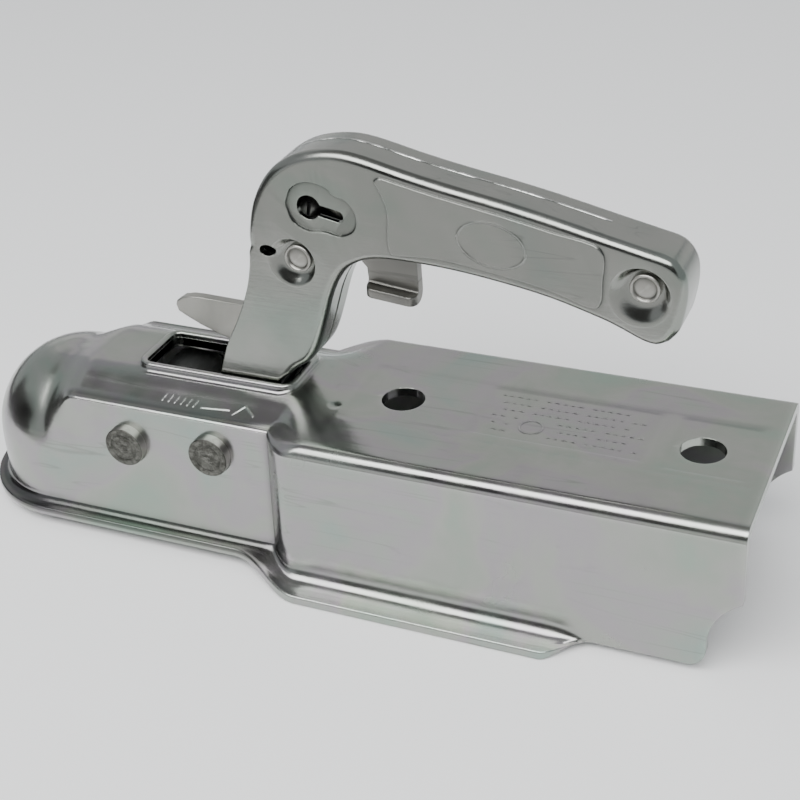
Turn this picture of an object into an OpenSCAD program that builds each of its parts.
// Pressed steel coupling head for a light trailer, 50 mm tow ball.
// The origin is the centre of the tow ball, X runs rearward, Y across, Z up.
// Closed pose: lever down, jaw against the ball, catch forward.

/* [Ball socket] */
// diameter of the tow ball, mm
ball_d = 50; // [49.5:0.1:50.5]
// gap between ball and socket, mm
ball_gap = 0.3; // [0.1:0.1:0.8]
// thickness of the pressed sheet of the body, mm
sheet = 3; // [2.5:0.1:3.5]
// extra radius of the dome round the ball, mm
dome_extra = 0.2; // [0:0.1:1]

/* [Body] */
// outside width of the square drawbar box, mm
box_w = 69.4; // [66:0.2:74]
// height of the deck above the ball centre, mm
deck_z = 28; // [27:0.5:30]
// distance of the deck's rear edge behind the ball centre, mm
rear_x = 225.3; // [218:0.5:235]
// start of the widening behind the ball, mm
step_x = 82.5; // [80:0.5:90]
// length of the widening, mm
step_len = 10; // [8:0.5:16]
// half width of the narrow part at its top crease, mm
crease_y = 25.4; // [24.5:0.1:26.5]
// depth of the flange under the ball centre at the nose, mm
nose_drop = 18; // [16:0.5:20]
// depth of the flange under the ball centre at the box, mm
box_drop = 21.8; // [20:0.2:24]
// width of the flange lip beside the box, mm
box_lip = 9; // [7:0.5:11]
// width of the flange lip round the nose, mm
nose_lip = 4.2; // [3:0.2:6]
// outer radius of the fillet above the lip beside the box, mm
lip_r = 5; // [4:0.1:6]
// rear end of the flange lip, mm
lip_end = 172; // [150:1:180]
// outer radius of the deck's long folds, mm
fold_r = 3.9; // [3:0.1:6]

/* [Drawbar bolts] */
// distance between the two bolt holes, mm
hole_pitch = 90; // [80:1:100]
// diameter of the bolt holes, mm
hole_d = 13; // [12:0.5:15]
// first bolt hole behind the ball centre, mm
hole_x = 115.5; // [112:0.5:120]

/* [Lever opening] */
// front edge of the opening, mm
open_front = 32.5; // [30:0.5:36]
// rear edge of the opening, mm
open_rear = 82; // [81.5:0.5:86]
// half width of the opening, mm
open_half = 9.4; // [9.2:0.1:10]
// thickness of the turned-up collar, mm
collar_t = 2.1; // [1.8:0.1:2.6]
// height of the collar's rim above the deck, mm
collar_up = 4.6; // [3:0.2:6]

/* [Rivets] */
// front rivet behind the ball centre, mm
rivet1_x = 33.5; // [32.5:0.5:35]
// front rivet above the ball centre, mm
rivet1_z = 12.5; // [11.5:0.5:14]
// rear rivet behind the ball centre, mm
rivet2_x = 63; // [62:0.5:65]
// rear rivet above the ball centre, mm
rivet2_z = 14.5; // [13.5:0.5:16]
// shank diameter of the two body rivets, mm
rivet_d = 8; // [7:0.5:9]
// head diameter of the two body rivets, mm
rivet_head_d = 13; // [12:0.5:15]
// head height of the two body rivets, mm
rivet_head_h = 3.4; // [2.5:0.1:4]
// wall thickness of the spacer tubes on the rivets, mm
sleeve_wall = 2; // [1.7:0.1:2.5]
// wall thickness of the spacer rings on the tubes, mm
spacer_wall = 2; // [1.5:0.1:2.5]
// radial running gap of the pivots, mm
run_gap = 0.06; // [0.04:0.01:0.1]

/* [Lever] */
// outside width of the lever channel, mm
lever_w = 17.4; // [16.6:0.1:17.8]
// sheet thickness of the lever, mm
lever_t = 2.5; // [2:0.1:3]
// outer radius of the lever's folds, mm
lever_fold = 2.8; // [2:0.1:3.5]
// diameter of the two small lever rivets, mm
pin_d = 6; // [5:0.5:7]
// head diameter of the two small lever rivets, mm
pin_head_d = 8.4; // [7.5:0.1:9]
// depth of the dimples round the small rivets, mm
dimple_depth = 1.6; // [1:0.1:2]
// keyhole diameter for a padlock, mm
key_d = 7.2; // [6:0.1:8]
// width of the keyhole's slot, mm
key_slot = 3.4; // [2.5:0.1:4]

/* [Latch] */
// thickness of the latch plate, mm
latch_t = 4; // [3:0.1:5]
// width of the trigger tab, mm
tab_w = 15.2; // [13:0.2:17]
// length of the trigger lip, mm
tab_lip = 4; // [3:0.2:6]

/* [Springs] */
// wire thickness of the latch spring, mm
latch_wire = 1.2; // [0.8:0.1:1.5]
// wire thickness of the jaw spring, mm
jaw_wire = 2; // [1.5:0.1:2.5]

/* [Hidden] */
$fn = 48;
eps = 0.01;
ball_r = ball_d / 2;
socket_r = ball_r + ball_gap;
dome_r = socket_r + sheet + dome_extra;
foot_y = dome_r + 0.1;
box_y = box_w / 2;
sleeve_d = rivet_d + 2 * sleeve_wall;
spacer_d = sleeve_d + 2 * spacer_wall;
lever_y = lever_w / 2;
hole2_x = hole_x + hole_pitch;
pin1 = [89.4, 74.6];
pin2 = [190.1, 79.6];
zinc = [0.74, 0.76, 0.77];
zinc_dark = [0.62, 0.64, 0.66];
steel = [0.55, 0.56, 0.58];

// small helpers
function smooth(a, b, x) = let(t = max(0, min(1, (x - a) / (b - a)))) t * t * (3 - 2 * t);
function line(a, b, x) = max(0, min(1, (x - a) / (b - a)));
function mix(p, q, t) = [for (i = [0:len(p) - 1]) p[i] * (1 - t) + q[i] * t];
function arc(c, r, a0, a1, n) = [for (i = [0:n]) let(a = a0 + (a1 - a0) * i / n) c + r * [cos(a), sin(a)]];
function at(p, i) = p[max(0, min(len(p) - 1, i))];
function bend(a, b, c, d, t) =
  0.5 * (2 * b + (c - a) * t + (2 * a - 5 * b + 4 * c - d) * t * t + (3 * b - a - 3 * c + d) * t * t * t);
function curve(p, n) = concat(
  [for (i = [0:len(p) - 2]) for (k = [0:n - 1]) bend(at(p, i - 1), p[i], p[i + 1], at(p, i + 2), k / n)],
  [p[len(p) - 1]]);
function unit(v) = v / max(norm(v), 1e-6);
function side(p, i) = let(d = unit(at(p, i + 1) - at(p, i - 1))) [d[1], -d[0]];
function inset(p, d) = [for (i = [0:len(p) - 1]) p[i] + side(p, i) * d];

module across(y0, y1) {
  translate([0, y1, 0])
    rotate([90, 0, 0])
      linear_extrude(y1 - y0)
        children();
}

module rod(x, z, d, y0, y1) {
  translate([x, y1, z])
    rotate([90, 0, 0])
      cylinder(d = d, h = y1 - y0);
}

module cone(x, z, d0, d1, y0, y1) {
  translate([x, y0, z])
    rotate([-90, 0, 0])
      cylinder(d1 = d0, d2 = d1, h = y1 - y0);
}

module tube(x, z, d, bore, y0, y1) {
  difference() {
    rod(x, z, d, y0, y1);
    rod(x, z, bore, y0 - 1, y1 + 1);
  }
}

// profiles of the body, outer skin, from the lip to the middle
// round the ball: lip, fillet, short wall and dome
nose_top = -nose_drop + sheet;
nose_profile = concat(
  [[foot_y + nose_lip, nose_top], [foot_y + 3.4, nose_top]],
  arc([foot_y + 3, nose_top + 3], 3, -90, -180, 3),
  [[dome_r + 0.06, -6], [dome_r, -0.5]],
  [for (a = [11, 22, 32, 41, 49, 56, 62, 67, 71, 75, 78]) dome_r * [cos(a), sin(a)]],
  [[3, dome_r - 0.16]]);
// beside the lever: leaning wall, crease, sloping shoulder
crease_z = deck_z - 2.7;
lean_profile = concat(
  [[foot_y + nose_lip, nose_top], [foot_y + 3.4, nose_top]],
  arc([foot_y + 3, nose_top + 3], 3, -90, -180, 3),
  [[foot_y - 0.6, -5], [foot_y - 1.2, 4], [foot_y - 2, 13], [crease_y + 0.45, crease_z - 1.6],
   [crease_y + 0.2, crease_z - 0.5], [crease_y - 0.5, crease_z + 0.15], [crease_y - 1.7, crease_z + 0.2],
   [crease_y - 3.3, crease_z + 0.5], [crease_y - 5, crease_z + 1.7], [crease_y - 7, crease_z + 3],
   [crease_y - 10, crease_z + 4.1], [crease_y - 14, crease_z + 5.1], [8, crease_z + 5.5], [3,
   crease_z + 5.6]]);
// inside of the leaning wall, without the crease's sharp fold
lean_inside = concat(
  [for (i = [0:8]) inner(lean_profile, 1)[i]],
  [[crease_y + 0.3 - sheet, crease_z - 1.8 - sheet], [crease_y - sheet, crease_z - 0.8 - sheet],
   [crease_y - 0.6 - sheet, crease_z - 0.1 - sheet], [crease_y - 1.5 - sheet, crease_z + 0.4 - sheet],
   [crease_y - 2.5 - sheet, crease_z + 0.9 - sheet], [crease_y - 3.7 - sheet, crease_z + 1.6 - sheet],
   [crease_y - 5.3 - sheet, crease_z + 2.6 - sheet], [crease_y - 11, crease_z + 4 - sheet],
   [crease_y - 14.5, crease_z + 4.9 - sheet], [7.8, crease_z + 5.4 - sheet], [3, crease_z + 5.6 - sheet]]);
// drawbar box with the lip
box_top = -box_drop + sheet;
function deck_part(w) = concat(
  [[w, -9], [w, 0], [w, 11], [w, deck_z - fold_r - 1]],
  arc([w - fold_r, deck_z - fold_r], fold_r, 8, 90, 4),
  [[w - fold_r - 3, deck_z], [w - fold_r - 9, deck_z], [w - fold_r - 16, deck_z], [8, deck_z], [3,
    deck_z]]);
box_profile = concat(
  [[box_y + box_lip, box_top], [box_y + lip_r + 0.5, box_top]],
  arc([box_y + lip_r, box_top + lip_r], lip_r, -90, -180, 3),
  deck_part(box_y));
// drawbar box behind the lip
plain_profile = concat(
  [[box_y, 2.4 - box_drop], [box_y, 2.8 - box_drop], [box_y, 3.4 - box_drop], [box_y, 4.2 - box_drop],
   [box_y, 5.4 - box_drop], [box_y, 7.2 - box_drop]],
  deck_part(box_y));

function mixp(p, q, t) = [for (i = [0:len(p) - 1]) mix(p[i], q[i], t)];
// the widening of each row of the skin: the wall turns out sharply, the lip sooner, the deck more softly
function lead(j) = j < 6 ? [12.5, 12.5, 9.5, 5.5, 2.5, 0.5][j] : 0;
function trail(j) = j < 6 ? 3 - 0.6 * j : 6.5 * line(9, 14, j);
function sharp(j) = j < 6 ? j / 5 : 1 - line(9, 14, j);
function widening(j, x) =
  let(t = line(step_x, step_x + step_len, x))
  sharp(j) * t * (2 - t) + (1 - sharp(j)) * smooth(step_x - lead(j), step_x + step_len + trail(j), x);
// one skin at a distance x behind the ball centre, from the four profiles of that skin
function skin(x, nose, lean, box, plain) =
  x < step_x - 20 ? mixp(nose, lean, smooth(1, 15, x))
  : x < lip_end - 2 ? [for (j = [0:len(lean) - 1]) mix(lean[j], box[j], widening(j, x))]
  : mixp(box, plain, smooth(lip_end - 1, lip_end + 12.5, x));

// skin offset by the sheet thickness, square to the profile
function inner(p, thick) = [for (i = [0:len(p) - 1])
  let(
    d = i == 0 ? p[1] - p[0] : at(p, i + 1) - at(p, i - 1),
    n = unit([d[1], -d[0]]),
    last = i == len(p) - 1)
  last ? [p[i][0], p[i][1] - sheet]
  : [max(p[i][0] - n[0] * sheet * thick, 3), p[i][1] - n[1] * sheet]];
nose_inside = inner(nose_profile, 1);
box_inside = inner(box_profile, 1);
plain_inside = inner(plain_profile, 1);
// the slanting sheet at the widening is as thick as the rest
slant = 2 * (box_y - foot_y + 1.5) / step_len;
function slant_extra(x) =
  let(t = line(step_x, step_x + step_len, x))
  t > 0 ? sheet * (sqrt(1 + pow(slant * (1 - t), 2)) - 1) : 0;
function wall_part(q, i) = line(3, 6, i) * line(0, 3, q[0] - 6) * line(deck_z, deck_z - 6, q[1]);
function widen(p, x) = [for (i = [0:len(p) - 1])
  let(q = p[i], least = min(q[0], lean_inside[i][0]))
  [i < 4 ? q[0] : max(q[0] - slant_extra(x) * wall_part(q, i), least), q[1]]];

// stations from the rear along the near side, round the nose and back
side_x = [rear_x, for (d = [12.5, 10, 8, 6.2, 4.5, 2.8, 1, -1]) lip_end + d,
  step_x + step_len + 6.5, step_x + step_len + 4.5,
  step_x + step_len + 2.5,
  for (k = [8:-1:0]) step_x + step_len * k / 8,
  step_x - 3, step_x - 6, step_x - 9.5, step_x - 13, 28, 15, 13, 11, 9, 7, 5, 3, 1.5];
half = len(side_x);
turns = 16;
stations = concat(
  [for (x = side_x) [x, 0, 0, -1, x]],
  [for (k = [0:turns]) let(a = 180 * k / turns) [0, 0, -sin(a), -cos(a), 0]],
  [for (k = [half - 1:-1:0]) [side_x[k], 0, 0, 1, side_x[k]]]);
function ring_point(s, q) = [s[0] + s[2] * q[0], s[1] + s[3] * q[0], q[1]];
rows = len(nose_profile);
cols = len(stations);
mid = (cols - 1) / 2;
outer_points = [for (s = stations)
  for (q = skin(s[4], nose_profile, lean_profile, box_profile, plain_profile)) ring_point(s, q)];
inner_points = [for (s = stations)
  for (q = widen(skin(s[4], nose_inside, lean_inside, box_inside, plain_inside), s[4])) ring_point(s, q)];
function quad(a, b, c, d) = [[c, b, a], [d, c, a]];
shell_count = rows * cols;
function o(i, j) = i * rows + j;
function n(i, j) = shell_count + i * rows + j;
shell_faces = [
  for (i = [0:cols - 2]) for (j = [0:rows - 2]) each quad(o(i, j), o(i, j + 1), o(i + 1, j + 1),
    o(i + 1, j)),
  for (i = [0:cols - 2]) for (j = [0:rows - 2]) each quad(n(i, j), n(i + 1, j), n(i + 1, j + 1),
    n(i, j + 1)),
  for (i = [0:cols - 2]) each quad(o(i, 0), o(i + 1, 0), n(i + 1, 0), n(i, 0)),
  for (j = [0:rows - 2]) each quad(o(0, j), n(0, j), n(0, j + 1), o(0, j + 1)),
  for (j = [0:rows - 2]) each quad(o(cols - 1, j), o(cols - 1, j + 1), n(cols - 1, j + 1), n(cols - 1, j)),
  each quad(o(0, rows - 1), n(0, rows - 1), n(cols - 1, rows - 1), o(cols - 1, rows - 1)),
  for (i = [0:mid - 2]) each quad(
    o(i, rows - 1), o(cols - 1 - i, rows - 1), o(cols - 2 - i, rows - 1), o(i + 1, rows - 1)),
  [o(mid, rows - 1), o(mid + 1, rows - 1), o(mid - 1, rows - 1)],
  for (i = [0:mid - 2]) each quad(
    n(i, rows - 1), n(i + 1, rows - 1), n(cols - 2 - i, rows - 1), n(cols - 1 - i, rows - 1)),
  [n(mid + 1, rows - 1), n(mid, rows - 1), n(mid - 1, rows - 1)]
];

module slot_shape(x0, x1, h, r) {
  polygon(concat(
    arc([x1 - r, h - r], r, 0, 90, 6), arc([x0 + r, h - r], r, 90, 180, 6),
    arc([x0 + r, r - h], r, 180, 270, 6), arc([x1 - r, r - h], r, 270, 360, 6)));
}

scallop_x = rear_x + 9.6;
scallop_z = -11.5;
scallop_r = 18.8;
corner_r = 4;
corner_z = 2.4 - box_drop + corner_r;
corner_x = scallop_x - sqrt(pow(scallop_r + corner_r, 2) - pow(corner_z - scallop_z, 2));
corner_end = atan2(scallop_z - corner_z, scallop_x - corner_x);
// half width over the flat seats for the rivet heads, and between the flat seats for the spacers
seat1_y = foot_y - 1.2 - 0.75;
seat2_y = foot_y - 1.2 - 0.95;
inner1_y = seat1_y - sheet - 0.75;
inner2_y = seat2_y - sheet - 0.75;
seat_gap = 0.1;

module rivet_seat(x, z, y, inside_y) {
  rod(x, z, rivet_d, -60, 60);
  rod(x, z, rivet_head_d + 2 * seat_gap, y, 60);
  rod(x, z, rivet_head_d + 2 * seat_gap, -60, -y);
  rod(x, z, spacer_d + 2 * seat_gap, -inside_y, inside_y);
}

module body_shell() {
  color(zinc)
    difference() {
      union() {
        polyhedron(concat(outer_points, inner_points), shell_faces, convexity = 8);
        translate([0, 0, deck_z - 0.6])
          linear_extrude(collar_up + 0.6)
            slot_shape(open_front - collar_t, open_rear + collar_t, open_half + collar_t, 4.5);
      }
      translate([0, 0, deck_z - 12])
        linear_extrude(30)
          slot_shape(open_front, open_rear, open_half, 2.6);
      for (x = [hole_x, hole2_x])
        translate([x, 0, deck_z - 6])
          cylinder(d = hole_d, h = 12);
      rivet_seat(rivet1_x, rivet1_z, seat1_y, inner1_y);
      rivet_seat(rivet2_x, rivet2_z, seat2_y, inner2_y);
      rod(scallop_x, scallop_z, 2 * scallop_r, -60, 60);
      across(-60, 60)
        polygon(concat(arc([corner_x, corner_z], corner_r, -90, corner_end, 6),
          [[rear_x, corner_z + 1], [rear_x, corner_z - 9], [corner_x, corner_z - 9]]));
    }
}

// riveted joints of the body
module body_rivet(x, z, y) {
  rod(x, z, rivet_d, -y - 0.5, y + 0.5);
  rod(x, z, rivet_head_d, -y - rivet_head_h + 0.6, -y);
  cone(x, z, rivet_head_d - 1.4, rivet_head_d, -y - rivet_head_h, -y - rivet_head_h + 0.6);
  rod(x, z, rivet_head_d, y, y + rivet_head_h - 0.6);
  cone(x, z, rivet_head_d, rivet_head_d - 1.4, y + rivet_head_h - 0.6, y + rivet_head_h);
}

module front_rivet() {
  color(zinc_dark)
    body_rivet(rivet1_x, rivet1_z, seat1_y);
}

module rear_rivet() {
  color(zinc_dark)
    body_rivet(rivet2_x, rivet2_z, seat2_y);
}

jaw_y = 19;

module front_sleeve() {
  color(steel)
    tube(rivet1_x, rivet1_z, sleeve_d, rivet_d, -inner1_y, inner1_y);
}

module rear_sleeve() {
  color(steel)
    tube(rivet2_x, rivet2_z, sleeve_d, rivet_d, -inner2_y, inner2_y);
}

module front_spacer_near() {
  color(zinc_dark)
    tube(rivet1_x, rivet1_z, spacer_d, sleeve_d, -inner1_y, -jaw_y - 0.15);
}

module front_spacer_far() {
  color(zinc_dark)
    tube(rivet1_x, rivet1_z, spacer_d, sleeve_d, jaw_y + 0.15, inner1_y);
}

module rear_spacer_near() {
  color(zinc_dark)
    tube(rivet2_x, rivet2_z, spacer_d, sleeve_d, -inner2_y, -lever_y - 0.15);
}

module rear_spacer_far() {
  color(zinc_dark)
    tube(rivet2_x, rivet2_z, spacer_d, sleeve_d, lever_y + 0.15, inner2_y);
}

// ball jaw
jaw_side = [
  [20, -15.5], [26, -15.5], [33, -10], [38, -3], [41, 4], [42, 12], [41, 17.5], [37.5, 21.5],
  [32, 22.2], [27, 19.5], [24.5, 14], [22, 4]];

module ball_jaw() {
  color(steel)
    difference() {
      union() {
        across(-jaw_y, jaw_y)
          polygon(curve(concat(jaw_side, [jaw_side[0]]), 3));
      }
      sphere(r = ball_r + 0.12, $fn = 72);
      rod(rivet1_x, rivet1_z, sleeve_d + 2 * run_gap, -30, 30);
      across(-lever_y - 1.5, lever_y + 1.5)
        polygon([[30, -1], [60, -1], [60, 30], [44, 30], [43, 16], [36, 3]]);
    }
}

// lever
spine = curve([
  [74, 75.5], [73.7, 79.5], [75.3, 87.3], [77.6, 93], [81, 98.4], [85.6, 102.8], [92.4, 106.4],
    [101.3, 108.2],
  [109.5, 107.7], [123.1, 104.5], [134.4, 102.1], [151.2, 99], [164.8, 96.1], [178.3, 92.9], [189.5, 90.3],
  [196.6, 88.3], [200.2, 84], [201, 78.5], [200.3, 72.5], [199, 67.6], [196.6, 64.6]], 3);
belly = curve([
  [196.6, 64.6], [193.3, 63.3], [189.4, 64], [183.5, 66.6], [178, 68.7], [164.2, 72.7], [150.1, 75.3],
  [135.7, 77.1], [121, 77.8], [111.9, 77.1], [105.5, 74], [101.7, 69.5], [98.8, 63.5], [95.9, 54.5],
  [92.9, 46], [89.5, 40.6], [84.5, 37], [80.5, 33]], 2);
leg_r = 11;
leg = concat(
  [[74.6, 22.5]],
  arc([rivet2_x, rivet2_z], leg_r, 18, -75, 8),
  [[60, -1], [52, -6.5], [44, -9.2], [38.6, -9.4], [37, -8.3], [36.6, -6.7], [39.4, -2.6], [43,
    0.6], [48, 4.6],
   [51.5, 9], [52.6, 14.5], [54.2, 21]],
  [[58, 30], [62, 41.5], [67.6, 52.6], [71.4, 62], [73.4, 70]]);

module lever_layer(d) {
  polygon(concat(inset(spine, d), [for (i = [1:len(belly) - 1]) belly[i]], leg));
}

module lever_hollow() {
  polygon(concat(
    [[60, 90]], [[73.7 - 4, 73]], inset(spine, lever_t), [[196, 50], [120, 40], [95, -20], [20,
    -20], [20, 60]]));
}

module dimple(p, s) {
  mirror([0, s > 0 ? 1 : 0, 0])
    cone(p[0], p[1], pin_head_d + 8, pin_head_d + 2.2, -lever_y - eps, -lever_y + dimple_depth);
}

module dimple_back(p, s) {
  mirror([0, s > 0 ? 1 : 0, 0])
    cone(p[0], p[1], pin_head_d + 9.5, pin_head_d + 5, -lever_y + lever_t - 0.4,
    -lever_y + lever_t + dimple_depth);
}

key_c = [94.2, 90.8];
key_e = [103, 89];
module keyhole() {
  union() {
    translate(key_c)
      circle(d = key_d);
    translate(key_e)
      circle(d = key_slot);
    polygon([key_c + [0.3, -key_slot / 2 - 0.1], key_e + [-0.35, -key_slot / 2],
      key_e + [0.35, key_slot / 2], key_c + [1.0, key_slot / 2 + 0.1]]);
  }
}

key_recess = curve([
  [87.6, 91.5], [89.8, 96.3], [94.7, 98.4], [100, 97.4], [102.4, 95.2], [106, 94], [108.6, 90],
    [107.6, 85.6],
  [103.6, 83.6], [98.8, 84.3], [93.2, 84.2], [89.2, 86.8], [87.6, 91.5]], 3);
grip_panel = curve([
  [115.2, 101.4], [117.6, 96.3], [118.6, 92], [118.2, 86], [118.4, 81.7], [120.4, 79.9], [133.1, 80.4],
  [150.3, 78.2], [164.3, 75.6], [175.2, 72.2], [178.4, 73.6], [179, 80], [178.2, 89.6], [164.8, 92.8],
  [151.2, 95.7], [134.4, 98.8], [123.1, 101.2], [117.2, 102.4], [115.2, 101.4]], 3);

module lever() {
  color(zinc)
    difference() {
      union() {
        difference() {
          union() {
            across(-lever_y + lever_fold, lever_y - lever_fold)
              lever_layer(0);
            for (k = [1:4])
              let(a = 22.5 * k, b = 22.5 * (k - 1), y0 = lever_y - lever_fold + lever_fold * sin(b),
                y1 = lever_y - lever_fold + lever_fold * sin(a), d = lever_fold * (1 - cos((a + b) / 2))) {
                across(y0 - eps, y1)
                  lever_layer(d);
                across(-y1, -y0 + eps)
                  lever_layer(d);
              }
            across(lever_y - 0.5, lever_y + 0.4)
              polygon(grip_panel);
            across(-lever_y - 0.4, -lever_y + 0.5)
              polygon(grip_panel);
          }
          across(-lever_y + lever_t, lever_y - lever_t)
            lever_hollow();
        }
        for (s = [-1, 1]) {
          dimple_back(pin1, s);
          dimple_back(pin2, s);
        }
      }
      for (s = [-1, 1]) {
        dimple(pin1, s);
        dimple(pin2, s);
      }
      rod(pin1[0], pin1[1], pin_d, -30, 30);
      rod(pin2[0], pin2[1], pin_d, -30, 30);
      rod(rivet2_x, rivet2_z, sleeve_d + 2 * run_gap, -30, 30);
      across(-30, 30)
        keyhole();
      across(-lever_y - 1, -lever_y + 0.7)
        polygon(key_recess);
      across(lever_y - 0.7, lever_y + 1)
        polygon(key_recess);
      rod(79.4, 76, 2.4, -30, 30);
      rod(80.9, 75.6, 2.4, -30, 30);
    }
}

// latch plate
tongue = [
  [41.7, 49.3], [42.2, 50.7], [44.4, 52.2], [47.4, 52.9], [51, 53], [65.5, 52.6], [74, 57], [80, 65],
  [84, 77], [87, 80.3], [92, 80.3], [96, 77.5], [100, 79.6], [108, 80.6], [123.2, 79.2], [123.2, 62.1],
  [109.5, 63.8], [108.3, 64.9], [108, 67.1], [107.6, 71], [104, 75.2], [100, 74.2], [96.5, 71], [93, 66.5],
  [86, 57.6], [78, 48.6], [69.5, 41.4], [62, 39.4], [56, 41], [49.7, 43.4], [44.8, 45.8], [42.3, 47.2]];
lip_poly = [[108, 67.1], [108 + tab_w, 65.2], [108 + tab_w, 62.1], [109.5, 63.8], [108.3, 64.9]];

module latch_plate() {
  color(zinc)
    difference() {
      union() {
        across(-latch_t / 2, latch_t / 2)
          polygon(tongue);
        across(-latch_t / 2 - tab_lip, 0)
          polygon(lip_poly);
        rod(pin1[0], pin1[1], pin_d + 8, -latch_t / 2, latch_t / 2);
      }
      rod(pin1[0], pin1[1], pin_d + 2 * run_gap, -10, 10);
    }
}

module small_rivet(p) {
  y = lever_y - dimple_depth;
  rod(p[0], p[1], pin_d, -y - 0.2, y + 0.2);
  for (s = [0, 1])
    mirror([0, s, 0])
      difference() {
        union() {
          rod(p[0], p[1], pin_head_d, -y - 1.2, -y);
          cone(p[0], p[1], pin_head_d - 1.2, pin_head_d, -y - 1.8, -y - 1.2);
        }
        cone(p[0], p[1], pin_head_d - 2.4, pin_head_d - 4, -y - 1.8 - eps, -y - 1.2);
      }
}

module latch_pin() {
  color(zinc_dark)
    small_rivet(pin1);
}

module grip_pin() {
  color(zinc_dark)
    small_rivet(pin2);
}

pin_inner = lever_y - lever_t - dimple_depth;

module grip_sleeve() {
  color(steel)
    tube(pin2[0], pin2[1], pin_d + 4, pin_d, -pin_inner, pin_inner);
}

module latch_spacer_near() {
  color(steel)
    tube(pin1[0], pin1[1], pin_d + 3, pin_d, -pin_inner, -latch_t / 2 - 0.08);
}

module latch_spacer_far() {
  color(steel)
    tube(pin1[0], pin1[1], pin_d + 3, pin_d, latch_t / 2 + 0.08, pin_inner);
}

// springs
module ring(x, z, r, w, y) {
  translate([x, y, z])
    rotate([90, 0, 0])
      rotate_extrude()
        translate([r, 0])
          circle(d = w, $fn = 16);
}

module leg_wire(a, b, w, y) {
  d = [b[0] - a[0], b[1] - a[1]];
  translate([a[0], y, a[1]])
    rotate([0, atan2(d[0], d[1]), 0])
      cylinder(d = w, h = norm(d), $fn = 16);
}

module latch_spring() {
  color(steel)
    union() {
      ring(pin1[0], pin1[1], 5.4, latch_wire, -2.75);
      leg_wire([pin1[0] + 0.2, pin1[1] + 5.4], [pin1[0] + 2.4, pin1[1] + 15], latch_wire, -2.75);
    }
}

module jaw_spring() {
  color(steel)
    union() {
      for (k = [0:1])
        ring(rivet2_x, rivet2_z, sleeve_d / 2 + jaw_wire / 2 + 0.25, jaw_wire, -2.4 + 1.9 * k);
      leg_wire([rivet2_x, rivet2_z - 7.2], [45, 6], jaw_wire, -2.4);
    }
}

body_shell();
front_rivet();
rear_rivet();
front_sleeve();
rear_sleeve();
front_spacer_near();
front_spacer_far();
rear_spacer_near();
rear_spacer_far();
ball_jaw();
jaw_spring();
lever();
latch_plate();
latch_pin();
latch_spring();
latch_spacer_near();
latch_spacer_far();
grip_pin();
grip_sleeve();
